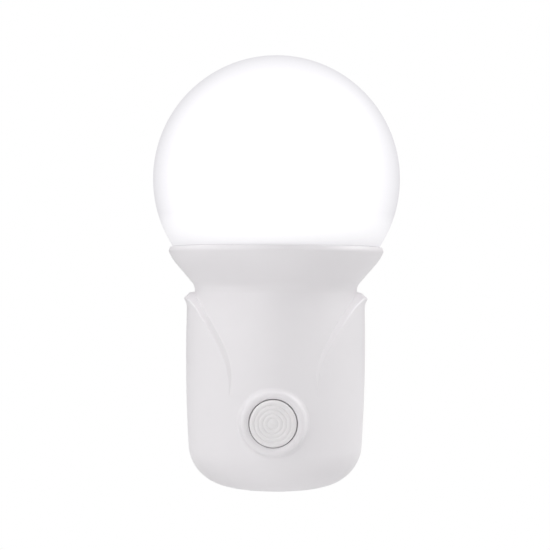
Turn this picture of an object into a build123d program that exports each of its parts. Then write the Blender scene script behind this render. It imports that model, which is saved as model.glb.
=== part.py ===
from build123d import *
from math import hypot, pi, sqrt
import os

# Plug-in globe night light, in millimetres. It is built about the upright axis of the globe, with the
# underside of the body at height zero, the front at -Y and the wall at +Y. At the end every piece is
# moved so that the origin is the middle of the plug's end face, between the pins.

# Allowances
overrun = 1.0  # how far a cutting shape runs past what it cuts
slip = 0.05  # gap between fixed pieces that slot together
running_gap = 0.2  # gap between moving and fixed pieces

# Body: heights are above its underside, half widths and radii from the globe's axis
wall = 2.0
body_half_width = 22.3
widest_height = 32.95
foot_draw_in = 1.45  # how much narrower the foot is than the widest part
corner_radius = 10.2
body_height = 47.5
back_depth = 29.5
back_edge_radius = 1.5

# Lip along the top edge of the sleeve
lip_reach = 0.7
lip_drop = 1.4
lip_bevel = 1.5
lip_flare = 3.9
lip_edge_radius = 0.5

# Neckline: the sleeve's front is cut away along a quarter ellipse, seen from the side
fade_height = 19.95
fade_run = 5.0
crease_height = 26.5
crease_inset = 2.45  # how far behind the body's front the ellipse ends
crease_top_rise = 0.15
crease_edge_radius = 0.35

# Neck and flared cup, upwards from the top of the sleeve
neck_step = 2.25  # how much slimmer the neck is than the body
column_bow = 0.45  # how far the column swells between the sleeve and the neck
neck_rise = 1.55
neck_fillet = 3.0
cone_rise = 5.5
cone_spread_share = 0.70  # of the way out from the neck to the rim
rim_rise = 3.3
rim_ledge = 1.0  # how far the rim stands out from the globe's seam
rim_bevel_rise = 1.0
rim_bevel_width = 0.4
rim_edge_radius = 0.8

# Globe, its skirt inside the cup, and the flange that the two shells trap
globe_radius = 30.7
seam_share = 0.54  # where the seam lies between the neck's radius and the globe's
globe_wall = 1.6
seam_gap = 0.2  # fine gap between the rim and the globe's foot
skirt_inset = 2.5
skirt_wall = 1.8
skirt_length = 3.4
flange_reach = 1.0
flange_thickness = 1.0
flange_drop = 1.5

# Joint between the two shells, with a fine groove along it
parting_depth = 0.25
parting_half_width = 0.2
tongue_thickness = 0.9
tongue_length = 1.5
case_boss_radius = 2.8
case_boss_length = 7.0
case_boss_inset = 3.8
case_boss_low = 6.8
case_boss_roof_gap = 4.0
case_tube_radius = 4.2
case_head_seat = 8.0
case_recess_radius = 3.0
case_clear_radius = 1.6
case_screw_radius = 1.4
case_screw_length = 14.0
case_head_radius = 2.7
case_head_height = 2.0

# Push button and the raised ring round it
button_height = 17.55
button_wall = 2.3
button_travel = 2.0
cap_radius = 5.5
cap_gap = 0.2
cap_edge = 0.2
cap_proud = 0.35
cap_dome_radius = 1.25
cap_dome_rise = 0.2
cap_ring_count = 4
cap_ridge_rise = 0.15
cap_flange_reach = 1.3
cap_flange_thickness = 1.0
cap_hub_radius = 2.6
cap_hub_length = 2.4
collar_rise = 0.8
collar_crest_radius = 6.75
collar_inner_drop = 0.35
collar_round = 1.0
collar_side_angle = 75
collar_foot_radius = 1.0

# Push switch
switch_width = 8.4
switch_wall = 1.0
switch_floor = 1.2
switch_depth = 6.6
switch_cover_thickness = 0.4
switch_tab_length = 4.0
switch_tab_width = 3.0
stem_radius = 1.5
slider_thickness = 1.8
bridge_thickness = 0.3
bridge_width = 5.0
bridge_height = 0.6
terminal_width = 0.6
terminal_spacing = 4.0
terminal_tail = 1.2
spring_radius = 1.8
spring_wire_radius = 0.13
spring_turns = 4
latch_wire_radius = 0.22
latch_groove_width = 0.9
latch_groove_depth = 0.8

# Driver board and what stands on it
board_thickness = 1.6
board_side_gap = 1.45  # from the board's edge to the screw bosses beside it
board_below_button = 10.9
board_above_button = 23.1
post_radius = 2.3
post_side_gap = 3.0
post_edge_gap = 3.5
post_hole_depth = 6.0
small_screw_radius = 0.8
small_head_radius = 1.8
small_head_height = 1.2
film_capacitor_gap = 0.7  # between the capacitor and the screw heads beside it
film_capacitor_height = 11.0
film_capacitor_depth = 6.5
film_capacitor_rise = 14.5
film_capacitor_edge = 0.8
can_gap = 0.4  # between the can and the switch's terminals
can_length = 9.0
can_edge = 0.5
can_groove = 0.3
can_rise = 3.6
rectifier_gap = 0.9  # between the rectifier and the switch's terminals
rectifier_edge_gap = 0.1
rectifier_height = 4.8
rectifier_depth = 2.6
rectifier_edge = 0.3
rectifier_rise = 3.4
resistor_radius = 1.3
resistor_gap = 0.7  # from the board's middle to the end of a lead
resistor_cap_radius = 1.5
resistor_cap_length = 1.2
resistor_lead_radius = 0.3
resistor_lead_reach = 1.6
resistor_offset_share = 0.4  # of the board's half width
resistor_drop = 4.0

# LED board under the globe
led_board_overlap = 0.5
led_size = (3.5, 2.8, 0.8)
led_lens_radius = 1.1
led_lens_rise = 0.25
led_circle_radius = 12.5
led_count = 8

# Plug stub and pins
pin_height = 23.65
stub_depth = 16.0
stub_half_width = 17.65
stub_half_height = 6.85
stub_flat_half_width = 12.0
stub_end_half_height = 2.6
stub_corner_radius = 1.5
stub_wall = 2.2
stub_end_wall = 3.5
stub_edge_radius = 0.8
pin_spacing = 19.0
pin_radius = 2.0
pin_length = 19.0
pin_tip_radius = 1.5
pin_core_radius = 1.5
sleeve_radius = 1.8
sleeve_length = 10.0
pin_collar_radius = 2.9
pin_collar_thickness = 1.8
pin_tail_length = 4.2
retainer_thickness = 2.0
retainer_screw_length = 5.8
retainer_post_radius = 2.4
tag_radius = 2.6
tag_thickness = 0.6
tag_width = 2.0
tag_lug_length = 5.0

# Wires
mains_wire_radius = 0.9
mains_wire_bend = 5.0
mains_wire_sag = 9.0
mains_wire_run = 6.5
mains_pad_inset = 1.4
mains_pad_drop = 1.5
led_wire_radius = 0.6
led_wire_bend = 3.5
led_wire_spread = 3.0
led_wire_run = 5.4
led_pad_rise = 21.4

# Heights and radii that follow from the sizes above
foot_half_width = body_half_width - foot_draw_in
neck_radius = body_half_width - neck_step
globe_seam_radius = neck_radius + seam_share * (globe_radius - neck_radius)
rim_radius = globe_seam_radius + rim_ledge
cone_spread = cone_spread_share * (rim_radius - neck_radius)
skirt_radius = globe_seam_radius - skirt_inset
neck_height = body_height + neck_rise
rim_height = neck_height + cone_rise + rim_rise
rim_top = rim_height + rim_bevel_rise
globe_foot = rim_top + seam_gap
globe_centre = globe_foot + sqrt(globe_radius**2 - globe_seam_radius**2)
skirt_bottom = rim_top - skirt_length
ledge_height = skirt_bottom - board_thickness
led_board_radius = skirt_radius - skirt_wall + led_board_overlap
neck_bore = neck_radius - wall
body_arc_radius = (widest_height**2 + (body_half_width - foot_half_width) ** 2) / (
    2 * (body_half_width - foot_half_width)
)


def body_radius(height):
    """Half width of the sleeve's gently bowed side at a height, below the lip."""
    rise = height - widest_height
    return body_half_width - body_arc_radius + sqrt(body_arc_radius**2 - rise**2)


fade_radius = body_radius(fade_height)
crease_reach = fade_radius - crease_inset
chamber_half_width = fade_radius - wall
case_boss_x = chamber_half_width - case_boss_inset
case_boss_high = body_height - wall - case_boss_roof_gap

# Places across the driver board
board_half_width = case_boss_x - case_boss_radius - board_side_gap
post_spread = board_half_width - post_side_gap
mains_pad_spread = board_half_width - mains_pad_inset
wire_inner_edge = mains_pad_spread - mains_wire_radius
terminal_outer_edge = (terminal_spacing + terminal_width) / 2
film_capacitor_width = 2 * (post_spread - small_head_radius - film_capacitor_gap)
can_radius = (wire_inner_edge - terminal_outer_edge - can_gap) / 2
can_offset = -(terminal_outer_edge + can_gap + can_radius)
rectifier_width = wire_inner_edge - rectifier_edge_gap - terminal_outer_edge - rectifier_gap
rectifier_offset = terminal_outer_edge + rectifier_gap + rectifier_width / 2
resistor_offset = resistor_offset_share * board_half_width
resistor_length = 2 * (resistor_offset - resistor_lead_reach - resistor_gap)

# Depths in front of the globe's axis, along the button
button_surface = body_radius(button_height)
cap_bore = cap_radius + cap_gap
button_seat = button_surface - button_wall
cap_flange_front = button_seat - slip
cap_flange_back = cap_flange_front - cap_flange_thickness
cap_hub_back = cap_flange_back - cap_hub_length
switch_front = cap_hub_back - button_travel - running_gap
switch_mouth = switch_front - switch_cover_thickness
board_front = switch_mouth - switch_depth
board_back = board_front - board_thickness
switch_inside_floor = board_front + switch_floor
slider_front = switch_mouth - running_gap
slider_back = slider_front - slider_thickness
bridge_back = slider_back - bridge_thickness

# Depths behind the body's back, along the plug
stub_inside_end = stub_depth - stub_end_wall
pin_collar_front = stub_inside_end - pin_collar_thickness
retainer_front = pin_collar_front - retainer_thickness

# Local frames: button depths run to the front from the globe's axis, plug depths to the wall from the back
button_frame = Plane(origin=(0, 0, button_height), x_dir=(1, 0, 0), z_dir=(0, -1, 0))
plug_frame = Plane(origin=(0, back_depth, pin_height), x_dir=(-1, 0, 0), z_dir=(0, 1, 0))
front_reach = 2 * (globe_radius + back_depth)

# How near an edge lies to the line it is looked for on, and where along it this is tested
edge_match_share = 0.001
edge_test_shares = (0.1, 0.5, 0.9)


def outline(points):
    """Flat face with straight sides through the points."""
    return make_face(Polyline(*points, close=True))


def rounded(face, corners):
    """The face with some of its corners rounded, given as pairs of a point and a radius."""
    for point, radius in corners:
        vertex = face.vertices().sort_by_distance(Vector(*point))[0]
        face = fillet(vertex, radius)
    return face


def turned(face):
    """Solid of revolution of a half outline about the upright axis."""
    return revolve(Plane.XZ * face, Axis.Z)


def both_sides(face):
    """A half outline joined with its mirror image, upright in the plane of the globe's axis."""
    upright = Plane.XZ * face
    return upright + mirror(upright, Plane.YZ)


def rod(radius, start, end, x=0, y=0):
    """Round rod along a local frame's depth."""
    return Pos(x, y, min(start, end)) * Cylinder(
        radius, abs(end - start), align=(Align.CENTER, Align.CENTER, Align.MIN)
    )


def block(width, height, start, end, x=0, y=0):
    """Rectangular block along a local frame's depth."""
    return Pos(x, y, min(start, end)) * Box(
        width, height, abs(end - start), align=(Align.CENTER, Align.CENTER, Align.MIN)
    )


def front_half():
    """Space in front of the globe's axis."""
    return Box(front_reach, front_reach, 2 * front_reach, align=(Align.CENTER, Align.MAX, Align.CENTER))


def rear_half():
    """Space behind the globe's axis."""
    return Box(front_reach, front_reach, 2 * front_reach, align=(Align.CENTER, Align.MIN, Align.CENTER))


def wire(points, bend, radius, name):
    """Round wire along straight runs joined by tangent arcs."""
    path = FilletPolyline(*points, radius=bend)
    section = Plane(origin=path @ 0, z_dir=path % 0) * Circle(radius)
    solid = sweep(section, path=path)
    share = solid.volume / (pi * radius**2 * path.length)
    print(f"{name}: bend {bend:.2f}, length {path.length:.1f}, volume share {share:.4f}")
    return solid


# Outer form


def sleeve_half():
    """Half outline of the body: rounded foot, bowed side and flared lip."""
    foot = (foot_half_width, 0)
    widest = (body_half_width, widest_height)
    shoulder_height = body_height - lip_flare
    shoulder = (body_radius(shoulder_height), shoulder_height)
    lip = (body_half_width + lip_reach, body_height - lip_drop)
    top = (body_half_width + lip_reach - lip_bevel, body_height)
    side = ThreePointArc(foot, widest, shoulder)
    flare = TangentArc(shoulder, lip, tangent=side % 1)
    rest = Polyline(lip, top, (0, body_height), (0, 0), foot)
    face = make_face([side, flare, rest])
    return rounded(face, [(foot, corner_radius), (lip, lip_edge_radius), (top, lip_edge_radius)])


def column_half():
    """Half outline of the tapering column, the neck and the flared cup."""
    neck = (neck_radius, neck_height)
    cone_top = (neck_radius + cone_spread, neck_height + cone_rise)
    rim = (rim_radius, rim_height)
    bevel_top = (rim_radius - rim_bevel_width, rim_top)
    taper = (fade_radius - neck_radius) / (neck_height - fade_height)
    foot_height = fade_height - fade_run
    foot = (fade_radius + taper * fade_run, foot_height)
    middle = ((foot[0] + neck_radius) / 2 + column_bow, (foot_height + neck_height) / 2)
    column = ThreePointArc(foot, middle, neck)
    cone = Line(neck, cone_top)
    bell = TangentArc(cone_top, rim, tangent=cone % 1)
    rest = Polyline(rim, bevel_top, (0, rim_top), (0, foot_height), foot)
    face = make_face([column, cone, bell, rest])
    return rounded(face, [(neck, neck_fillet), (rim, rim_edge_radius)])


def neckline_cut():
    """What is cut from the front of the sleeve, to bare the column behind it."""
    curve_top = body_height + crease_top_rise
    top = curve_top + overrun
    curve = EllipticalCenterArc(
        (0, crease_height), crease_reach, curve_top - crease_height, start_angle=90, arc_size=90
    )
    rest = Polyline(
        (-crease_reach, crease_height),
        (-crease_reach, fade_height - fade_run),
        (-front_reach, fade_height - fade_run),
        (-front_reach, top),
        (0, top),
        (0, curve_top),
    )
    return extrude(Plane.YZ * make_face([curve, rest]), amount=front_reach, both=True)


def on_neckline(point):
    """Whether a point lies on the curved part of the neckline, on the outside of the sleeve."""
    rise = (point.Z - crease_height) / (body_height + crease_top_rise - crease_height)
    off_curve = abs(hypot(point.Y / crease_reach, rise) - 1)
    outside = hypot(point.X, point.Y) > body_radius(point.Z) - crease_edge_radius / 2
    return rise > 0 and off_curve < edge_match_share and outside


def edge_on_neckline(edge):
    """Whether a whole edge follows the neckline."""
    return all(on_neckline(edge @ share) for share in edge_test_shares)


def collar():
    """Raised rounded ring round the button, with steep sides that run down into the sleeve."""
    crest_depth = button_surface + collar_rise
    inner = (cap_bore, crest_depth - collar_inner_drop)
    inside = TangentArc((collar_crest_radius, crest_depth), inner, tangent=(-1, 0))
    middle = (collar_crest_radius, crest_depth - collar_round)
    outside = CenterArc(middle, collar_round, start_angle=90, arc_size=-collar_side_angle)
    shoulder = outside @ 1
    fall = outside % 1
    foot = shoulder + fall * ((button_seat - shoulder.Y) / fall.Y)
    rest = Polyline(shoulder, foot, (cap_bore, button_seat), inner)
    return button_frame * turned(make_face([inside, outside, rest]))


def outside_crest(edge):
    """Whether an edge runs round the button outside the ring's crest."""
    places = [edge @ share for share in edge_test_shares]
    return min(hypot(place.X, place.Z - button_height) for place in places) > collar_crest_radius


def cup_cavity():
    """Hollow of the column and the cup, with the seats for the LED board and the globe's skirt."""
    seat = skirt_radius + slip
    groove = seat + flange_reach
    pocket = led_board_radius + slip
    groove_top = rim_top - flange_drop + slip
    groove_foot = rim_top - flange_drop - flange_thickness - slip
    foot = (foot_half_width - wall, wall)
    face = outline(
        [
            (0, wall),
            foot,
            (chamber_half_width, fade_height),
            (neck_bore, neck_height),
            (neck_bore, ledge_height),
            (pocket, ledge_height),
            (pocket, skirt_bottom),
            (seat, skirt_bottom),
            (seat, groove_foot),
            (groove, groove_foot),
            (groove, groove_top),
            (seat, groove_top),
            (seat, rim_top + overrun),
            (0, rim_top + overrun),
        ]
    )
    return turned(rounded(face, [(foot, corner_radius - wall)]))


def chamber(grow):
    """Upright outline of the rear chamber, with its floor and sides moved outwards."""
    foot = (foot_half_width - wall + grow, wall - grow)
    face = outline(
        [
            (0, wall - grow),
            foot,
            (chamber_half_width + grow, fade_height),
            (chamber_half_width + grow, body_height - wall),
            (0, body_height - wall),
        ]
    )
    return both_sides(rounded(face, [(foot, corner_radius - wall + grow)]))


def tongue(gap):
    """Thin tongue inside the joint of the shells, or with a gap the rebate that takes it."""
    ring = chamber(tongue_thickness + gap) - chamber(-gap)
    return extrude(ring, amount=tongue_length + gap, dir=(0, -1, 0))


def parting_groove():
    """Fine groove along the outer edge of the joint between the shells."""
    edge = both_sides(sleeve_half()) + (both_sides(column_half()) & above_body())
    reach = 2 * parting_depth
    band = offset(edge, reach) - offset(edge, -parting_depth)
    return extrude(band, amount=parting_half_width, dir=(0, -1, 0), both=True)


def case_boss_places():
    """Places of the case screws, as x and height."""
    return [(side * case_boss_x, height) for side in (-1, 1) for height in (case_boss_low, case_boss_high)]


def along_depth(radius, start, end, place):
    """Round rod along Y at an x and a height."""
    x, height = place
    frame = Plane(origin=(x, start, height), x_dir=(1, 0, 0), z_dir=(0, 1, 0))
    return frame * rod(radius, 0, end - start)


# Casing


def above_body():
    """Space above the top of the sleeve."""
    return Pos(0, 0, body_height) * Box(
        front_reach, front_reach, front_reach, align=(Align.CENTER, Align.CENTER, Align.MIN)
    )


def front_outer():
    """Outer form of the front half: the sleeve cut back to the column, the cup and the button's ring."""
    column = turned(column_half())
    body = (turned(sleeve_half()) & front_half()) - (neckline_cut() - column)
    body += column & above_body() & front_half()
    body = fillet([edge for edge in body.edges() if edge_on_neckline(edge)], crease_edge_radius)
    ring = collar()
    ringed = body + ring
    foot = [edge for edge in new_edges(body, ring, combined=ringed) if outside_crest(edge)]
    return fillet(foot, collar_foot_radius)


def board_post_places():
    """Places of the board's posts, across and above the button's centre."""
    low = post_edge_gap - board_below_button
    high = board_above_button - post_edge_gap
    return [(side * post_spread, rise) for side in (-1, 1) for rise in (low, high)]


def front_shell():
    """Front half of the casing, with the button's bore, the board's posts and the screw bosses."""
    outer = front_outer()
    shell = outer - cup_cavity()
    for x, rise in board_post_places():
        shell += (button_frame * rod(post_radius, board_front, button_surface, x, rise)) & outer
    for place in case_boss_places():
        shell += along_depth(case_boss_radius, -case_boss_length, 0, place) & outer
    for x, rise in board_post_places():
        hole_end = board_front + post_hole_depth
        shell -= button_frame * rod(small_screw_radius + slip, board_front - overrun, hole_end, x, rise)
    for place in case_boss_places():
        hole_end = case_head_seat - case_screw_length - slip
        shell -= along_depth(case_screw_radius + slip, hole_end, overrun, place)
    shell -= button_frame * rod(cap_bore, board_back, button_surface + collar_rise + overrun)
    shell -= button_frame * rod(cap_radius + cap_flange_reach + cap_gap, board_back, button_seat)
    return shell - tongue(slip) - parting_groove()


def stub_outline(inset):
    """End view of the plug's stub, drawn in by an inset."""
    flat = stub_flat_half_width - inset / 2
    wide = stub_half_width - inset
    high = stub_half_height - inset
    end = stub_end_half_height - inset / 2
    right = [(wide, -end), (wide, end), (flat, high)]
    left = [(-x, -y) for x, y in right]
    face = outline([*right, (-flat, high), *left, (flat, -high)])
    return fillet(face.vertices(), stub_corner_radius)


def plug_stub():
    """Solid stub that stands out of the body's back, with its end edge softened."""
    stub = extrude(Pos(0, 0, -wall) * stub_outline(0), amount=wall + stub_depth)
    end_edges = stub.faces().sort_by(Axis.Z)[-1].edges()
    return plug_frame * fillet(end_edges, stub_edge_radius)


def rear_outer():
    """Outer form of the rear half: straight sides to a flat back, the rear of the cup, and the stub."""
    body = extrude(both_sides(sleeve_half()), amount=back_depth, dir=(0, 1, 0))
    back_edges = body.faces().sort_by(Axis.Y)[-1].edges()
    body = fillet(back_edges, back_edge_radius)
    return body + (turned(column_half()) & above_body() & rear_half()) + plug_stub()


def rear_shell():
    """Rear half of the casing, with the screw tubes, the plug's stub and the tongue."""
    outer = rear_outer()
    hollow = extrude(chamber(0), amount=back_depth - wall, dir=(0, 1, 0))
    hollow += cup_cavity() & rear_half()
    stub_hollow = extrude(
        Pos(0, 0, -wall - overrun) * stub_outline(stub_wall), amount=wall + overrun + stub_inside_end
    )
    shell = outer - hollow - plug_frame * stub_hollow
    for place in case_boss_places():
        shell += along_depth(case_tube_radius, 0, back_depth - back_edge_radius, place) & outer
    for place in case_boss_places():
        shell -= along_depth(case_clear_radius, -overrun, case_head_seat + overrun, place)
        shell -= along_depth(case_recess_radius, case_head_seat, back_depth + overrun, place)
    shell += plug_frame * rod(retainer_post_radius, pin_collar_front, stub_inside_end)
    screw_hole_end = retainer_front + retainer_screw_length + slip
    shell -= plug_frame * rod(small_screw_radius + slip, pin_collar_front - overrun, screw_hole_end)
    for side in (-1, 1):
        x = side * pin_spacing / 2
        shell -= plug_frame * rod(sleeve_radius + slip, stub_inside_end - overrun, stub_depth + overrun, x)
    return shell - parting_groove() + tongue(0)


def globe_diffuser():
    """Hollow opal globe on a short skirt, whose flange sits in the cup's groove."""
    inner_radius = globe_radius - globe_wall
    skirt_bore = skirt_radius - skirt_wall
    top = globe_centre + globe_radius
    seam = (globe_seam_radius, globe_foot)
    side = (globe_radius, globe_centre)
    inner_foot = (skirt_bore, globe_centre - sqrt(inner_radius**2 - skirt_bore**2))
    flange_top = rim_top - flange_drop
    flange_foot = flange_top - flange_thickness
    flange = skirt_radius + flange_reach
    outer = ThreePointArc(seam, side, (0, top))
    inner = ThreePointArc((0, globe_centre + inner_radius), (inner_radius, globe_centre), inner_foot)
    crown = Line((0, top), (0, globe_centre + inner_radius))
    skirt = Polyline(
        inner_foot,
        (skirt_bore, skirt_bottom),
        (skirt_radius, skirt_bottom),
        (skirt_radius, flange_foot),
        (flange, flange_foot),
        (flange, flange_top),
        (skirt_radius, flange_top),
        (skirt_radius, globe_foot),
        seam,
    )
    return turned(make_face([outer, crown, inner, skirt]))


def screw(head_radius, head_height, shank_radius, length):
    """Pan-head screw with its head's underside at depth zero and its shank going down, with a cross slot."""
    shank = rod(shank_radius, -length, 0)
    head = rod(head_radius, 0, head_height)
    head = fillet(head.faces().sort_by(Axis.Z)[-1].edges(), head_height / 2)
    slot_width = head_radius / 4
    slot_length = head_radius
    slot_foot = head_height / 2
    slot = block(slot_width, slot_length, slot_foot, head_height + overrun)
    slot += block(slot_length, slot_width, slot_foot, head_height + overrun)
    return shank + head - slot


def case_screws():
    """Four screws that hold the rear shell to the front shell."""
    one = screw(case_head_radius, case_head_height, case_screw_radius, case_screw_length)
    screws = []
    for x, height in case_boss_places():
        frame = Plane(origin=(x, case_head_seat, height), x_dir=(1, 0, 0), z_dir=(0, 1, 0))
        screws.append(frame * one)
    return screws


# Button and switch


def button_cap():
    """Ridged cap with its stop flange and the hub that takes the plunger's stem."""
    face = button_surface + collar_rise + cap_proud - cap_ridge_rise
    pitch = (cap_radius - cap_edge - cap_dome_radius) / cap_ring_count
    valleys = [cap_dome_radius + pitch * ring for ring in range(cap_ring_count + 1)]
    dome = TangentArc((0, face + cap_dome_rise), (cap_dome_radius, face), tangent=(1, 0))
    ridges = [
        ThreePointArc((valley, face), (valley + pitch / 2, face + cap_ridge_rise), (valley + pitch, face))
        for valley in valleys[:-1]
    ]
    flange = cap_radius + cap_flange_reach
    socket = stem_radius + slip
    rest = Polyline(
        (valleys[-1], face),
        (cap_radius, face - cap_edge),
        (cap_radius, cap_flange_front),
        (flange, cap_flange_front),
        (flange, cap_flange_back),
        (cap_hub_radius, cap_flange_back),
        (cap_hub_radius, cap_hub_back),
        (socket, cap_hub_back),
        (socket, cap_flange_front),
        (0, cap_flange_front),
        (0, face + cap_dome_rise),
    )
    return button_frame * turned(make_face([dome, *ridges, rest]))


def terminal_places():
    """Places of the switch's two fixed contacts, across and above the button's centre."""
    rise = switch_width / 2 - switch_wall - running_gap - bridge_height / 2
    return [(side * terminal_spacing / 2, rise) for side in (-1, 1)]


def latch_rise():
    """Height of the latch wire below the button's centre."""
    return -(switch_width / 2 - switch_wall - running_gap - latch_groove_depth / 2)


def switch_body():
    """Open box of the switch, with holes in its floor for the terminals and the latch wire."""
    inside = switch_width - 2 * switch_wall
    body = block(switch_width, switch_width, board_front, switch_mouth)
    body -= block(inside, inside, switch_inside_floor, switch_mouth + overrun)
    hole_width = terminal_width + 2 * slip
    for x, rise in terminal_places():
        body -= block(hole_width, hole_width, board_front - overrun, switch_inside_floor + overrun, x, rise)
    latch_foot = switch_inside_floor - switch_floor / 2
    latch_hole = rod(latch_wire_radius + slip, latch_foot, switch_mouth, 0, latch_rise())
    return button_frame * (body - latch_hole)


def switch_cover():
    """Sheet-metal cover on the switch's mouth, with a tab down each side."""
    cover = block(switch_width, switch_width, switch_mouth, switch_front)
    cover -= rod(stem_radius + running_gap, switch_mouth - overrun, switch_front + overrun)
    for side in (-1, 1):
        x = side * (switch_width + switch_cover_thickness) / 2
        tab_foot = switch_front - switch_tab_length
        cover += block(switch_cover_thickness, switch_tab_width, tab_foot, switch_front, x)
    return button_frame * cover


def switch_plunger():
    """Stem under the cap, and the slider inside the switch with the latch's groove."""
    width = switch_width - 2 * switch_wall - 2 * running_gap
    slider = block(width, width, slider_back, slider_front)
    groove_height = 2 * latch_groove_depth
    groove_start = slider_back - overrun
    groove_end = slider_front + overrun
    slider -= block(latch_groove_width, groove_height, groove_start, groove_end, 0, -width / 2)
    stem = rod(stem_radius, slider_front, cap_flange_front)
    return button_frame * (slider + stem)


def switch_spring():
    """Return spring between the slider and the switch's floor."""
    height = slider_back - switch_inside_floor - 2 * spring_wire_radius
    pitch = height / spring_turns
    path = Helix(pitch, height, spring_radius)
    section = Plane(origin=path @ 0, z_dir=path % 0) * Circle(spring_wire_radius)
    coil = sweep(section, path=path, is_frenet=True)
    return button_frame * Pos(0, 0, switch_inside_floor + spring_wire_radius) * coil


def switch_bridge():
    """Moving contact on the back of the slider."""
    rise = terminal_places()[0][1]
    return button_frame * block(bridge_width, bridge_height, bridge_back, slider_back, 0, rise)


def switch_terminals():
    """Two fixed contacts, whose pins go through the switch's floor and the board."""
    tip = bridge_back - button_travel - slip
    tail = board_back - terminal_tail
    pins = [block(terminal_width, terminal_width, tail, tip, x, rise) for x, rise in terminal_places()]
    return [button_frame * pin for pin in pins]


def switch_latch_wire():
    """Wire that rides in the slider's groove and holds the button in."""
    foot = switch_inside_floor - switch_floor / 2
    return button_frame * rod(latch_wire_radius, foot, slider_front, 0, latch_rise())


# Driver board


def driver_board():
    """Upright board behind the switch, with holes for its screws and for the switch's terminals."""
    height = board_below_button + board_above_button
    centre = (board_above_button - board_below_button) / 2
    board = block(2 * board_half_width, height, board_back, board_front, 0, centre)
    for x, rise in board_post_places():
        board -= rod(small_screw_radius + slip, board_back - overrun, board_front + overrun, x, rise)
    hole_width = terminal_width + 2 * slip
    for x, rise in terminal_places():
        board -= block(hole_width, hole_width, board_back - overrun, board_front + overrun, x, rise)
    return button_frame * board


def driver_board_screws():
    """Four screws that hold the board to the front shell's posts."""
    one = Rot(180, 0, 0) * screw(
        small_head_radius, small_head_height, small_screw_radius, post_hole_depth + board_thickness - slip
    )
    return [button_frame * Pos(x, rise, board_back) * one for x, rise in board_post_places()]


def film_capacitor():
    """Box-shaped mains capacitor on the back of the board."""
    back = board_back - film_capacitor_depth
    box = block(film_capacitor_width, film_capacitor_height, back, board_back, 0, film_capacitor_rise)
    free_edges = box.faces().sort_by(Axis.Z)[0].edges() + box.edges().filter_by(Axis.Z)
    return button_frame * fillet(free_edges, film_capacitor_edge)


def smoothing_capacitor():
    """Round capacitor with the pressed groove near its foot."""
    can = rod(can_radius, board_back - can_length, board_back, can_offset, can_rise)
    can = fillet(can.faces().sort_by(Axis.Z)[0].edges(), can_edge)
    groove_depth = board_back - can_radius / 2
    groove = Pos(can_offset, can_rise, groove_depth) * Torus(can_radius, can_groove)
    return button_frame * (can - groove)


def bridge_rectifier():
    """Flat rectifier on the back of the board."""
    back = board_back - rectifier_depth
    box = block(rectifier_width, rectifier_height, back, board_back, rectifier_offset, rectifier_rise)
    free_edges = box.faces().sort_by(Axis.Z)[0].edges()
    return button_frame * chamfer(free_edges, rectifier_edge)


def resistor(x, rise):
    """Resistor lying along the board, on its two bent leads."""
    centre = board_back - resistor_cap_radius
    lying = Plane(origin=(x, rise, centre), x_dir=(0, 1, 0), z_dir=(1, 0, 0))
    half = resistor_length / 2
    reach = half + resistor_lead_reach
    body = rod(resistor_radius, -half, half)
    for side in (-1, 1):
        body += rod(resistor_cap_radius, side * (half - resistor_cap_length), side * half)
        body += rod(resistor_lead_radius, 0, side * reach)
    shape = lying * body
    for side in (-1, 1):
        leg_x = x + side * (reach - resistor_lead_radius)
        shape += rod(resistor_lead_radius, centre, board_back, leg_x, rise)
    return button_frame * shape


# LED board


def led_board():
    """Round board on the cup's ledge, held down by the globe's skirt."""
    return Pos(0, 0, ledge_height) * Cylinder(
        led_board_radius, board_thickness, align=(Align.CENTER, Align.CENTER, Align.MIN)
    )


def led_chips():
    """Small light sources in a ring on the board, each with a low clear lens."""
    width, depth, height = led_size
    chips = []
    for place in range(led_count):
        angle = 360 * place / led_count
        chip = Box(width, depth, height, align=(Align.CENTER, Align.CENTER, Align.MIN))
        chip += rod(led_lens_radius, height, height + led_lens_rise)
        chips.append(Pos(0, 0, skirt_bottom) * Rot(0, 0, angle) * Pos(led_circle_radius, 0, 0) * chip)
    return chips


# Plug


def plug_pin(side):
    """Pin with a full contact tip, a core under the sleeve, a collar and a tail for the tag."""
    x = side * pin_spacing / 2
    sleeve_end = stub_depth + sleeve_length
    tip = rod(pin_radius, sleeve_end, stub_depth + pin_length)
    tip = fillet(tip.faces().sort_by(Axis.Z)[-1].edges(), pin_tip_radius)
    core = rod(pin_core_radius, pin_collar_front - pin_tail_length, sleeve_end)
    ring = rod(pin_collar_radius, pin_collar_front, stub_inside_end)
    return plug_frame * Pos(-x, 0, 0) * (tip + core + ring)


def pin_sleeve(side):
    """Insulating sleeve on the part of a pin nearest the stub."""
    x = side * pin_spacing / 2
    tube = rod(sleeve_radius, stub_inside_end, stub_depth + sleeve_length)
    tube -= rod(pin_core_radius + slip / 2, stub_inside_end - overrun, stub_depth + sleeve_length + overrun)
    return plug_frame * Pos(-x, 0, 0) * tube


def pin_retainer():
    """Plate inside the stub that holds the pins' collars against its end wall."""
    plate = extrude(Pos(0, 0, retainer_front) * stub_outline(stub_wall + slip), amount=retainer_thickness)
    for side in (-1, 1):
        x = side * pin_spacing / 2
        plate -= rod(pin_core_radius + slip, retainer_front - overrun, pin_collar_front + overrun, x)
    plate -= rod(small_screw_radius + slip, retainer_front - overrun, pin_collar_front + overrun)
    return plug_frame * plate


def retainer_screw():
    """Screw that holds the retainer to the stub's end wall."""
    one = screw(small_head_radius, small_head_height, small_screw_radius, retainer_screw_length)
    return plug_frame * Pos(0, 0, retainer_front) * Rot(180, 0, 0) * one


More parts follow.
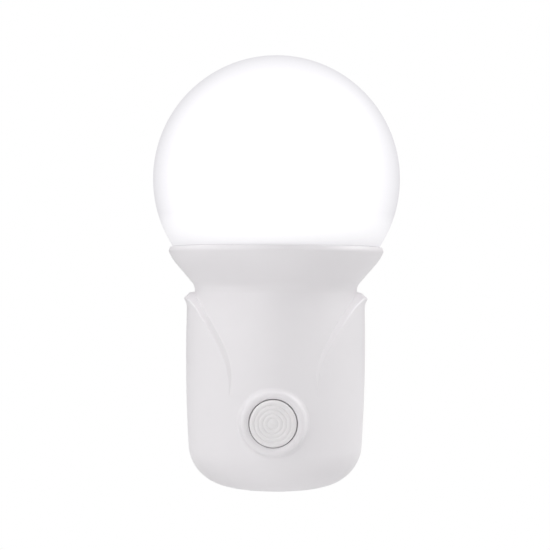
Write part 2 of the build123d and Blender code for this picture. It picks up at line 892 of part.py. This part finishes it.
def solder_tag(side):
    """Ring on a pin's tail, with a lug towards the wire."""
    x = side * pin_spacing / 2
    ring_front = retainer_front - tag_thickness
    ring = rod(tag_radius, ring_front, retainer_front)
    lug_rise = tag_radius - tag_thickness / 2
    lug = block(tag_width, tag_thickness, ring_front - tag_lug_length, retainer_front, 0, lug_rise)
    tag = ring + lug - rod(pin_core_radius + slip, ring_front - overrun, retainer_front + overrun)
    return plug_frame * Pos(-x, 0, 0) * tag


# Wires


def mains_wire(side, name):
    """Wire from a pin's tag, down through the chamber, to its pad at the foot of the driver board."""
    lug_y = back_depth + retainer_front - tag_thickness - tag_lug_length
    lug_z = pin_height + tag_radius - tag_thickness / 2
    pad_z = button_height - mains_pad_drop
    x = side * pin_spacing / 2
    pad_x = side * mains_pad_spread
    points = [
        (x, lug_y, lug_z),
        (x, lug_y - mains_wire_sag, lug_z),
        (pad_x, mains_wire_run - board_back, pad_z),
        (pad_x, -board_back, pad_z),
    ]
    return wire(points, mains_wire_bend, mains_wire_radius, name)


def led_wire(side, name):
    """Wire from the driver board's head up to the underside of the LED board."""
    x = side * led_wire_spread
    pad_z = button_height + led_pad_rise
    points = [
        (x, -board_back, pad_z),
        (x, led_wire_run - board_back, pad_z),
        (x, led_wire_run - board_back, ledge_height),
    ]
    return wire(points, led_wire_bend, led_wire_radius, name)


# Writing the pieces, moved so that the origin lies on the plug's end face between the pins

to_plug_face = Pos(0, -(back_depth + stub_depth), -pin_height)


def write(name, shape):
    """Writes one node, a single piece or a group of separate ones."""
    pieces = shape if isinstance(shape, list) else [shape]
    solids = [solid for piece in pieces for solid in (to_plug_face * piece).solids()]
    export_step(solids[0] if len(solids) == 1 else Compound(children=solids), f"parts/{name}.step")


os.makedirs("parts", exist_ok=True)
write("globe_diffuser", globe_diffuser())
write("front_shell", front_shell())
write("rear_shell", rear_shell())
write("case_screws", case_screws())
write("button_cap", button_cap())
write("switch_body", switch_body())
write("switch_cover", switch_cover())
write("switch_plunger", switch_plunger())
write("switch_spring", switch_spring())
write("switch_bridge", switch_bridge())
write("switch_terminals", switch_terminals())
write("switch_latch_wire", switch_latch_wire())
write("driver_board", driver_board())
write("driver_board_screws", driver_board_screws())
write("film_capacitor", film_capacitor())
write("smoothing_capacitor", smoothing_capacitor())
write("bridge_rectifier", bridge_rectifier())
write("fuse_resistor", resistor(resistor_offset, -resistor_drop))
write("discharge_resistor", resistor(-resistor_offset, -resistor_drop))
write("led_board", led_board())
write("led_chips", led_chips())
write("pin_retainer", pin_retainer())
write("retainer_screw", retainer_screw())
for side, hand in ((-1, "left"), (1, "right")):
    write(f"plug_pin_{hand}", plug_pin(side))
    write(f"pin_sleeve_{hand}", pin_sleeve(side))
    write(f"solder_tag_{hand}", solder_tag(side))
write("live_wire", mains_wire(-1, "live_wire"))
write("neutral_wire", mains_wire(1, "neutral_wire"))
write("led_wire_positive", led_wire(1, "led_wire_positive"))
write("led_wire_negative", led_wire(-1, "led_wire_negative"))
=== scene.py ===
import math

import bpy
from mathutils import Matrix, Vector


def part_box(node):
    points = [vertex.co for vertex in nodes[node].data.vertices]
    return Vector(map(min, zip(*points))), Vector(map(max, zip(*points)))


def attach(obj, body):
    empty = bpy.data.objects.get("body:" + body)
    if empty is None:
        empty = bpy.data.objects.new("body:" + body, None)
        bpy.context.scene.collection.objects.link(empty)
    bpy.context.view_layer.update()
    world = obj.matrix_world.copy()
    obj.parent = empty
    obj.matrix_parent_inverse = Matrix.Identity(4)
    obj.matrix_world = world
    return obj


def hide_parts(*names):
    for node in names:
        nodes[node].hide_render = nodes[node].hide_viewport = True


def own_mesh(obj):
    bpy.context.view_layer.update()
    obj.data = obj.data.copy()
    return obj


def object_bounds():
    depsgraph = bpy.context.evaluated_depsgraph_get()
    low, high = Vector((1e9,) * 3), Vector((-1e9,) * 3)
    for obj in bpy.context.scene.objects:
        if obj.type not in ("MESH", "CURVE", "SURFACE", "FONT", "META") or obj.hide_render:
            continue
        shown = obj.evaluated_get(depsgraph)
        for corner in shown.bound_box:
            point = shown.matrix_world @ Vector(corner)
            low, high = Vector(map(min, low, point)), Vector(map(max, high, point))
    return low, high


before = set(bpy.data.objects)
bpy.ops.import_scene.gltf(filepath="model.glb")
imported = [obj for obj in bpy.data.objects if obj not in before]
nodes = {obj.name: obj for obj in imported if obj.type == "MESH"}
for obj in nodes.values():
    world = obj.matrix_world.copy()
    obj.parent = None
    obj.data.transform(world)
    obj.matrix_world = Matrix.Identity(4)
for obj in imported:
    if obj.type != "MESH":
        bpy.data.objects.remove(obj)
cad_low, cad_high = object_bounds()

# Camera, in metres and degrees: it stands on the level of the cup's neck, nearly square to the front
picture_width = 0.1375  # what the picture takes in at the globe's axis
camera_distance = 0.300
eye_height = 0.0283
aim_offset = -0.00025  # across, from the globe's axis
camera_turn = 1.3
camera_roll = 0.3
sensor_width = 36.0
quarter_turn = 90

# Stage
floor_drop = 0.030
floor_half_size = 3.0
paper_white = (1.0, 1.0, 1.0, 1.0)
floor_shade = (0.8, 0.8, 0.8, 1.0)
floor_rough = 1.0
sky_strength = 0.285

# Softboxes: direction round the object and above the horizon in degrees, side in metres, strength in watts
softbox_distance = 0.9
softboxes = {
    "left_side_high": {"round": -95, "above": 45, "side": 0.7, "power": 2.81},
    "left_front": {"round": -50, "above": 20, "side": 0.7, "power": 0.30},
    "left_high": {"round": -45, "above": 55, "side": 0.7, "power": 0.65},
    "front_left": {"round": -25, "above": 25, "side": 0.7, "power": 2.95},
    "right": {"round": 90, "above": 10, "side": 0.7, "power": 0.87},
    "right_high": {"round": 100, "above": 45, "side": 0.7, "power": 5.71},
}

# Values that all finishes share
opaque = 1.0
whole_span = (0, 1)
all_metal = 1.0

# Plastics: two close shades and the span of the roughness
plastics = {
    "casing_white": {"shades": ((0.79, 0.769, 0.788), (0.82, 0.799, 0.818)), "rough": (0.36, 0.44)},
    "button_white": {"shades": ((0.78, 0.760, 0.770), (0.81, 0.790, 0.800)), "rough": (0.34, 0.42)},
    "plunger_white": {"shades": ((0.80, 0.79, 0.75), (0.86, 0.85, 0.81)), "rough": (0.40, 0.50)},
    "sleeve_black": {"shades": ((0.018, 0.018, 0.020), (0.035, 0.035, 0.038)), "rough": (0.42, 0.55)},
    "switch_black": {"shades": ((0.015, 0.015, 0.017), (0.030, 0.030, 0.033)), "rough": (0.45, 0.60)},
    "rectifier_black": {"shades": ((0.012, 0.012, 0.012), (0.026, 0.026, 0.026)), "rough": (0.50, 0.65)},
    "can_black": {"shades": ((0.010, 0.010, 0.014), (0.022, 0.022, 0.028)), "rough": (0.18, 0.28)},
    "retainer_grey": {"shades": ((0.40, 0.40, 0.41), (0.48, 0.48, 0.49)), "rough": (0.42, 0.52)},
    "capacitor_yellow": {"shades": ((0.70, 0.48, 0.06), (0.82, 0.60, 0.10)), "rough": (0.22, 0.32)},
    "insulation_brown": {"shades": ((0.16, 0.065, 0.030), (0.22, 0.095, 0.045)), "rough": (0.28, 0.38)},
    "insulation_blue": {"shades": ((0.035, 0.14, 0.44), (0.055, 0.19, 0.54)), "rough": (0.28, 0.38)},
    "insulation_red": {"shades": ((0.48, 0.030, 0.024), (0.60, 0.046, 0.036)), "rough": (0.28, 0.38)},
    "insulation_black": {"shades": ((0.016, 0.016, 0.016), (0.030, 0.030, 0.030)), "rough": (0.28, 0.38)},
}
cloud_size = 0.012
cloud_detail = 2.0
gloss_size = 0.004
skin_grain = 0.0004
skin_detail = 3.0
skin_depth = 0.000006
skin_strength = 0.25
plastic_index = 1.49

# Metals: two shades, the span of the roughness, and how the marks are drawn out along X, Y and Z
even_draw = (1, 1, 1)
metals = {
    "screw_steel": {
        "shades": ((0.46, 0.47, 0.50), (0.62, 0.62, 0.65)),
        "rough": (0.24, 0.40),
        "draw": even_draw,
    },
    "sheet_steel": {
        "shades": ((0.58, 0.58, 0.60), (0.72, 0.72, 0.74)),
        "rough": (0.26, 0.40),
        "draw": (0.1, 1, 1),
    },
    "spring_steel": {
        "shades": ((0.42, 0.42, 0.45), (0.58, 0.58, 0.60)),
        "rough": (0.22, 0.34),
        "draw": even_draw,
    },
    "contact_brass": {
        "shades": ((0.66, 0.47, 0.20), (0.82, 0.63, 0.31)),
        "rough": (0.24, 0.38),
        "draw": (1, 1, 0.1),
    },
    "plated_pin": {
        "shades": ((0.66, 0.64, 0.60), (0.79, 0.77, 0.73)),
        "rough": (0.16, 0.28),
        "draw": (1, 0.06, 1),
    },
}
mark_size = 0.0006
mark_detail = 4.0
mark_depth = 0.000004
mark_strength = 0.2

# Circuit boards: lacquer, the copper tracks under it, and the glass cloth that shows through
boards = {
    "board_green": {"lacquer": (0.012, 0.115, 0.045), "track": (0.030, 0.190, 0.075), "rough": (0.26, 0.38)},
    "board_white": {"lacquer": (0.78, 0.78, 0.76), "track": (0.84, 0.84, 0.82), "rough": (0.30, 0.42)},
}
track_spacing = 0.0045
track_start_share = 0.30
track_end_share = 0.42
weave_size = 0.0005
weave_depth = 0.000008
weave_strength = 0.3

# Resistors: lacquer and colour bands, laid out as shares of the length over the leads
resistors = {
    "resistor_grey": {
        "lacquer": (0.30, 0.33, 0.33),
        "bands": ((0.10, 0.04, 0.02), (0.01, 0.01, 0.01), (0.01, 0.01, 0.01), (0.45, 0.30, 0.08)),
    },
    "resistor_beige": {
        "lacquer": (0.62, 0.47, 0.28),
        "bands": ((0.08, 0.16, 0.40), (0.36, 0.36, 0.37), (0.60, 0.48, 0.05), (0.45, 0.30, 0.08)),
    },
}
tinned_lead = (0.62, 0.62, 0.63)
metal_mask = (1, 1, 1)
lacquer_mask = (0, 0, 0)
lead_share = 0.20
band_start_shares = (0.27, 0.40, 0.50, 0.66)
band_width_share = 0.05
lacquer_rough = (0.20, 0.34)

# LED chips: white package, and the yellow phosphor in the dome on top of it
package_white = (0.82, 0.82, 0.80)
phosphor_yellow = (0.86, 0.62, 0.10)
phosphor_glow = 4.0
phosphor_grain = 0.00012
phosphor_depth = 0.000010
phosphor_rough = (0.30, 0.50)
dome_rise_share = 0.24  # of the chip's height

# Lit opal globe, its glow painted darker towards the foot as painted shade where it meets the cup's rim
opal_shades = ((0.50, 0.49, 0.515), (0.53, 0.52, 0.545))
opal_rough = (0.28, 0.34)
opal_glow = 1.42
# Lower glow at the foot: painted shade where the cup's rim meets the globe; the skin thins over the same
# height
opal_foot_glow_painted_shade = 0.55
opal_painted_shade_and_skin_height = 0.0078  # above the cup's rim
opal_cloud = 0.02
opal_skin = 1.0
opal_foot_skin = 0.3
opal_skin_index = 1.15
opal_skin_rough = 0.45
opal_skin_tint = (0.658, 0.656, 0.663, 1.0)

# Places on the object
globe_low, globe_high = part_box("globe_diffuser")
globe_axis = (globe_low + globe_high) / 2
seam_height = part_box("front_shell")[1].z
chip_low, chip_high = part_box("led_chips")
package_top = chip_high.z - dome_rise_share * (chip_high.z - chip_low.z)


# Camera and light


def direction(round_degrees, above_degrees):
    """Unit vector from the object, with zero round it to the front and positive to the right."""
    turn = math.radians(round_degrees)
    rise = math.radians(above_degrees)
    return Vector((math.sin(turn) * math.cos(rise), -math.cos(turn) * math.cos(rise), math.sin(rise)))


def link(thing):
    """Puts an object into the scene."""
    bpy.context.scene.collection.objects.link(thing)
    return thing


def add_camera():
    """Camera at the photograph's height and angle."""
    data = bpy.data.cameras.new("camera")
    data.sensor_width = sensor_width
    data.lens = sensor_width * camera_distance / picture_width
    camera = link(bpy.data.objects.new("camera", data))
    aim = Vector((globe_axis.x + aim_offset, globe_axis.y, eye_height))
    place = aim + direction(camera_turn, 0) * camera_distance
    turn = Matrix.Rotation(math.radians(camera_turn), 4, "Z")
    upright = Matrix.Rotation(math.radians(quarter_turn), 4, "X")
    roll = Matrix.Rotation(math.radians(camera_roll), 4, "Z")
    camera.matrix_world = Matrix.Translation(place) @ turn @ upright @ roll
    bpy.context.scene.camera = camera


def add_softbox(name, facts):
    """Square area light aimed at the object."""
    data = bpy.data.lights.new(name, "AREA")
    data.size = facts["side"]
    data.energy = facts["power"]
    light = link(bpy.data.objects.new(name, data))
    away = direction(facts["round"], facts["above"])
    aim = (cad_low + cad_high) / 2
    light.location = aim + away * softbox_distance
    light.rotation_euler = away.to_track_quat("Z", "Y").to_euler()


def one_or_other(tree, test, first, second):
    """The first shader where a test is zero, and the second where it is one."""
    mix = tree.nodes.new("ShaderNodeMixShader")
    tree.links.new(test, mix.inputs["Fac"])
    tree.links.new(first, mix.inputs[1])
    tree.links.new(second, mix.inputs[2])
    return mix.outputs["Shader"]


def white_when_seen(tree, output, seen, lit):
    """Shows one shader in the picture and lights the object with the other."""
    path = tree.nodes.new("ShaderNodeLightPath")
    surface = one_or_other(tree, path.outputs["Is Camera Ray"], lit, seen)
    tree.links.new(surface, output.inputs["Surface"])


def add_sky():
    """Even white surroundings: bright paper in the picture, a little darker as a light."""
    world = bpy.data.worlds.new("sky")
    world.use_nodes = True
    tree = world.node_tree
    tree.nodes.clear()
    output = tree.nodes.new("ShaderNodeOutputWorld")
    seen = tree.nodes.new("ShaderNodeBackground")
    seen.inputs["Color"].default_value = paper_white
    lit = tree.nodes.new("ShaderNodeBackground")
    lit.inputs["Color"].default_value = paper_white
    lit.inputs["Strength"].default_value = sky_strength
    white_when_seen(tree, output, seen.outputs["Background"], lit.outputs["Background"])
    bpy.context.scene.world = world


def add_floor():
    """Plain floor below the object: bright paper from above, clear from below, pale grey as a light."""
    height = cad_low.z - floor_drop
    half = floor_half_size
    corners = [(-half, -half, height), (half, -half, height), (half, half, height), (-half, half, height)]
    mesh = bpy.data.meshes.new("floor")
    mesh.from_pydata(corners, [], [(0, 1, 2, 3)])
    floor = link(bpy.data.objects.new("floor", mesh))
    material = bpy.data.materials.new("floor_paper")
    material.use_nodes = True
    tree = material.node_tree
    tree.nodes.clear()
    output = tree.nodes.new("ShaderNodeOutputMaterial")
    paper = tree.nodes.new("ShaderNodeEmission")
    paper.inputs["Color"].default_value = paper_white
    clear = tree.nodes.new("ShaderNodeBsdfTransparent")
    below = tree.nodes.new("ShaderNodeNewGeometry").outputs["Backfacing"]
    seen = one_or_other(tree, below, paper.outputs["Emission"], clear.outputs["BSDF"])
    lit = tree.nodes.new("ShaderNodeBsdfPrincipled")
    lit.inputs["Base Color"].default_value = floor_shade
    lit.inputs["Roughness"].default_value = floor_rough
    white_when_seen(tree, output, seen, lit.outputs["BSDF"])
    mesh.materials.append(material)


# Materials


def new_material(name):
    """Empty material with its node tree and its main shader."""
    material = bpy.data.materials.new(name)
    material.use_nodes = True
    tree = material.node_tree
    return material, tree, tree.nodes["Principled BSDF"]


def in_place(tree):
    """Places on the object, in metres."""
    return tree.nodes.new("ShaderNodeTexCoord").outputs["Object"]


def noise(tree, grain_size, detail=cloud_detail, draw=even_draw):
    """Noise whose grains have a size in metres."""
    mapping = tree.nodes.new("ShaderNodeMapping")
    mapping.inputs["Scale"].default_value = draw
    texture = tree.nodes.new("ShaderNodeTexNoise")
    texture.inputs["Scale"].default_value = 1 / grain_size
    texture.inputs["Detail"].default_value = detail
    tree.links.new(in_place(tree), mapping.inputs["Vector"])
    tree.links.new(mapping.outputs["Vector"], texture.inputs["Vector"])
    return texture.outputs["Fac"]


def height_above(tree):
    """Height of a place on the object, in metres."""
    split = tree.nodes.new("ShaderNodeSeparateXYZ")
    tree.links.new(in_place(tree), split.inputs["Vector"])
    return split.outputs["Z"]


def length_share(tree):
    """How far along X a place lies, as a share of the piece's length."""
    place = tree.nodes.new("ShaderNodeTexCoord")
    split = tree.nodes.new("ShaderNodeSeparateXYZ")
    tree.links.new(place.outputs["Generated"], split.inputs["Vector"])
    return split.outputs["X"]


def colour_between(tree, source, shades, socket):
    """Colour that wanders between two shades."""
    ramp = tree.nodes.new("ShaderNodeValToRGB")
    for element, shade in zip(ramp.color_ramp.elements, shades):
        element.color = (*shade, opaque)
    tree.links.new(source, ramp.inputs["Fac"])
    tree.links.new(ramp.outputs["Color"], socket)


def colour_steps(tree, source, steps, socket):
    """Colour that changes at each of the given shares of a source."""
    ramp = tree.nodes.new("ShaderNodeValToRGB")
    ramp.color_ramp.interpolation = "CONSTANT"
    elements = ramp.color_ramp.elements
    elements.remove(elements[-1])
    elements[0].color = (*steps[0][1], opaque)
    for start, shade in steps[1:]:
        elements.new(start).color = (*shade, opaque)
    tree.links.new(source, ramp.inputs["Fac"])
    tree.links.new(ramp.outputs["Color"], socket)


def value_between(tree, source, span, socket, limits=whole_span):
    """Number that runs between two values while the source runs between its limits."""
    spread = tree.nodes.new("ShaderNodeMapRange")
    spread.inputs["From Min"].default_value = limits[0]
    spread.inputs["From Max"].default_value = limits[1]
    spread.inputs["To Min"].default_value = span[0]
    spread.inputs["To Max"].default_value = span[1]
    tree.links.new(source, spread.inputs["Value"])
    tree.links.new(spread.outputs["Result"], socket)


def is_above(tree, source, limit):
    """One where the source lies above a limit, and zero elsewhere."""
    test = tree.nodes.new("ShaderNodeMath")
    test.operation = "GREATER_THAN"
    test.inputs[1].default_value = limit
    tree.links.new(source, test.inputs[0])
    return test.outputs["Value"]


def relief(tree, source, shader, strength, depth):
    """Fine relief of a depth in metres."""
    bump = tree.nodes.new("ShaderNodeBump")
    bump.inputs["Strength"].default_value = strength
    bump.inputs["Distance"].default_value = depth
    tree.links.new(source, bump.inputs["Height"])
    tree.links.new(bump.outputs["Normal"], shader.inputs["Normal"])


def plastic(name, facts):
    """Satin moulded plastic with a faint cloudiness and a fine skin."""
    material, tree, shader = new_material(name)
    colour_between(tree, noise(tree, cloud_size), facts["shades"], shader.inputs["Base Color"])
    value_between(tree, noise(tree, gloss_size), facts["rough"], shader.inputs["Roughness"])
    relief(tree, noise(tree, skin_grain, skin_detail), shader, skin_strength, skin_depth)
    shader.inputs["IOR"].default_value = plastic_index
    return material


def metal(name, facts):
    """Bare or plated metal with fine drawn or turned marks."""
    material, tree, shader = new_material(name)
    marks = noise(tree, mark_size, mark_detail, facts["draw"])
    colour_between(tree, marks, facts["shades"], shader.inputs["Base Color"])
    value_between(tree, marks, facts["rough"], shader.inputs["Roughness"])
    relief(tree, marks, shader, mark_strength, mark_depth)
    shader.inputs["Metallic"].default_value = all_metal
    return material


def opal(name):
    """Lit opal globe: a bright milky body under a satin skin; its glow is painted darker towards the globe's
    foot as painted shade, and its skin thins there.
    """
    material, tree, shader = new_material(name)
    colour_between(tree, noise(tree, opal_cloud), opal_shades, shader.inputs["Base Color"])
    value_between(tree, noise(tree, gloss_size), opal_rough, shader.inputs["Roughness"])
    height = height_above(tree)
    limits = (seam_height, seam_height + opal_painted_shade_and_skin_height)
    # Painted shade: the glow dims over the last few millimetres above the cup's rim
    value_between(tree, height, (opal_foot_glow_painted_shade, opal_glow), shader.inputs["Emission Strength"], limits)
    value_between(tree, height, (opal_foot_skin, opal_skin), shader.inputs["Coat Weight"], limits)
    shader.inputs["Emission Color"].default_value = paper_white
    shader.inputs["Specular IOR Level"].default_value = 0.0
    shader.inputs["Coat Tint"].default_value = opal_skin_tint
    shader.inputs["Coat Roughness"].default_value = opal_skin_rough
    shader.inputs["Coat IOR"].default_value = opal_skin_index
    return material


def board(name, facts):
    """Lacquered circuit board with tracks under the lacquer and a fine weave."""
    material, tree, shader = new_material(name)
    tracks = tree.nodes.new("ShaderNodeTexVoronoi")
    tracks.distance = "CHEBYCHEV"
    tracks.inputs["Scale"].default_value = 1 / track_spacing
    tree.links.new(in_place(tree), tracks.inputs["Vector"])
    shades = [(0, facts["lacquer"]), (track_start_share, facts["track"]), (track_end_share, facts["lacquer"])]
    colour_steps(tree, tracks.outputs["Distance"], shades, shader.inputs["Base Color"])
    weave = tree.nodes.new("ShaderNodeTexChecker")
    weave.inputs["Scale"].default_value = 1 / weave_size
    tree.links.new(in_place(tree), weave.inputs["Vector"])
    relief(tree, weave.outputs["Fac"], shader, weave_strength, weave_depth)
    value_between(tree, noise(tree, gloss_size), facts["rough"], shader.inputs["Roughness"])
    return material


def resistor(name, facts):
    """Lacquered resistor with colour bands and tinned leads."""
    material, tree, shader = new_material(name)
    lacquer = facts["lacquer"]
    shades = [(0, tinned_lead), (lead_share, lacquer)]
    for start, band in zip(band_start_shares, facts["bands"]):
        shades += [(start, band), (start + band_width_share, lacquer)]
    shades.append((1 - lead_share, tinned_lead))
    colour_steps(tree, length_share(tree), shades, shader.inputs["Base Color"])
    bare = [(0, metal_mask), (lead_share, lacquer_mask), (1 - lead_share, metal_mask)]
    colour_steps(tree, length_share(tree), bare, shader.inputs["Metallic"])
    value_between(tree, noise(tree, gloss_size), lacquer_rough, shader.inputs["Roughness"])
    relief(tree, noise(tree, skin_grain, skin_detail), shader, skin_strength, skin_depth)
    return material


def led_chip(name):
    """White LED package with a lit dome of yellow phosphor."""
    material, tree, shader = new_material(name)
    dome = is_above(tree, height_above(tree), package_top)
    colour_between(tree, dome, (package_white, phosphor_yellow), shader.inputs["Base Color"])
    value_between(tree, dome, (0, phosphor_glow), shader.inputs["Emission Strength"])
    shader.inputs["Emission Color"].default_value = paper_white
    grain = noise(tree, phosphor_grain, mark_detail)
    value_between(tree, grain, phosphor_rough, shader.inputs["Roughness"])
    relief(tree, grain, shader, skin_strength, phosphor_depth)
    return material


def dress_all():
    """Puts each finish on the nodes whose slot has its name."""
    finishes = {"opal_diffuser": opal("opal_diffuser_look"), "led_phosphor": led_chip("led_phosphor_look")}
    for table, make in ((plastics, plastic), (metals, metal), (boards, board), (resistors, resistor)):
        finishes.update({name: make(name + "_look", facts) for name, facts in table.items()})
    for node in nodes.values():
        for slot in node.material_slots:
            slot.material = finishes[slot.material.name]


# Spring piece


def add_spring():
    """Return spring: a copy of the switch's spring on its own mesh, hung on the lamp body in place of the
    original.
    """
    spring = link(bpy.data.objects.new("return_spring", nodes["switch_spring"].data.copy()))
    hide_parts("switch_spring")
    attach(spring, "lamp")
    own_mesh(spring)


add_camera()
add_sky()
add_floor()
for name, facts in softboxes.items():
    add_softbox(name, facts)
dress_all()
add_spring()
bpy.context.scene.view_settings.view_transform = "Standard"
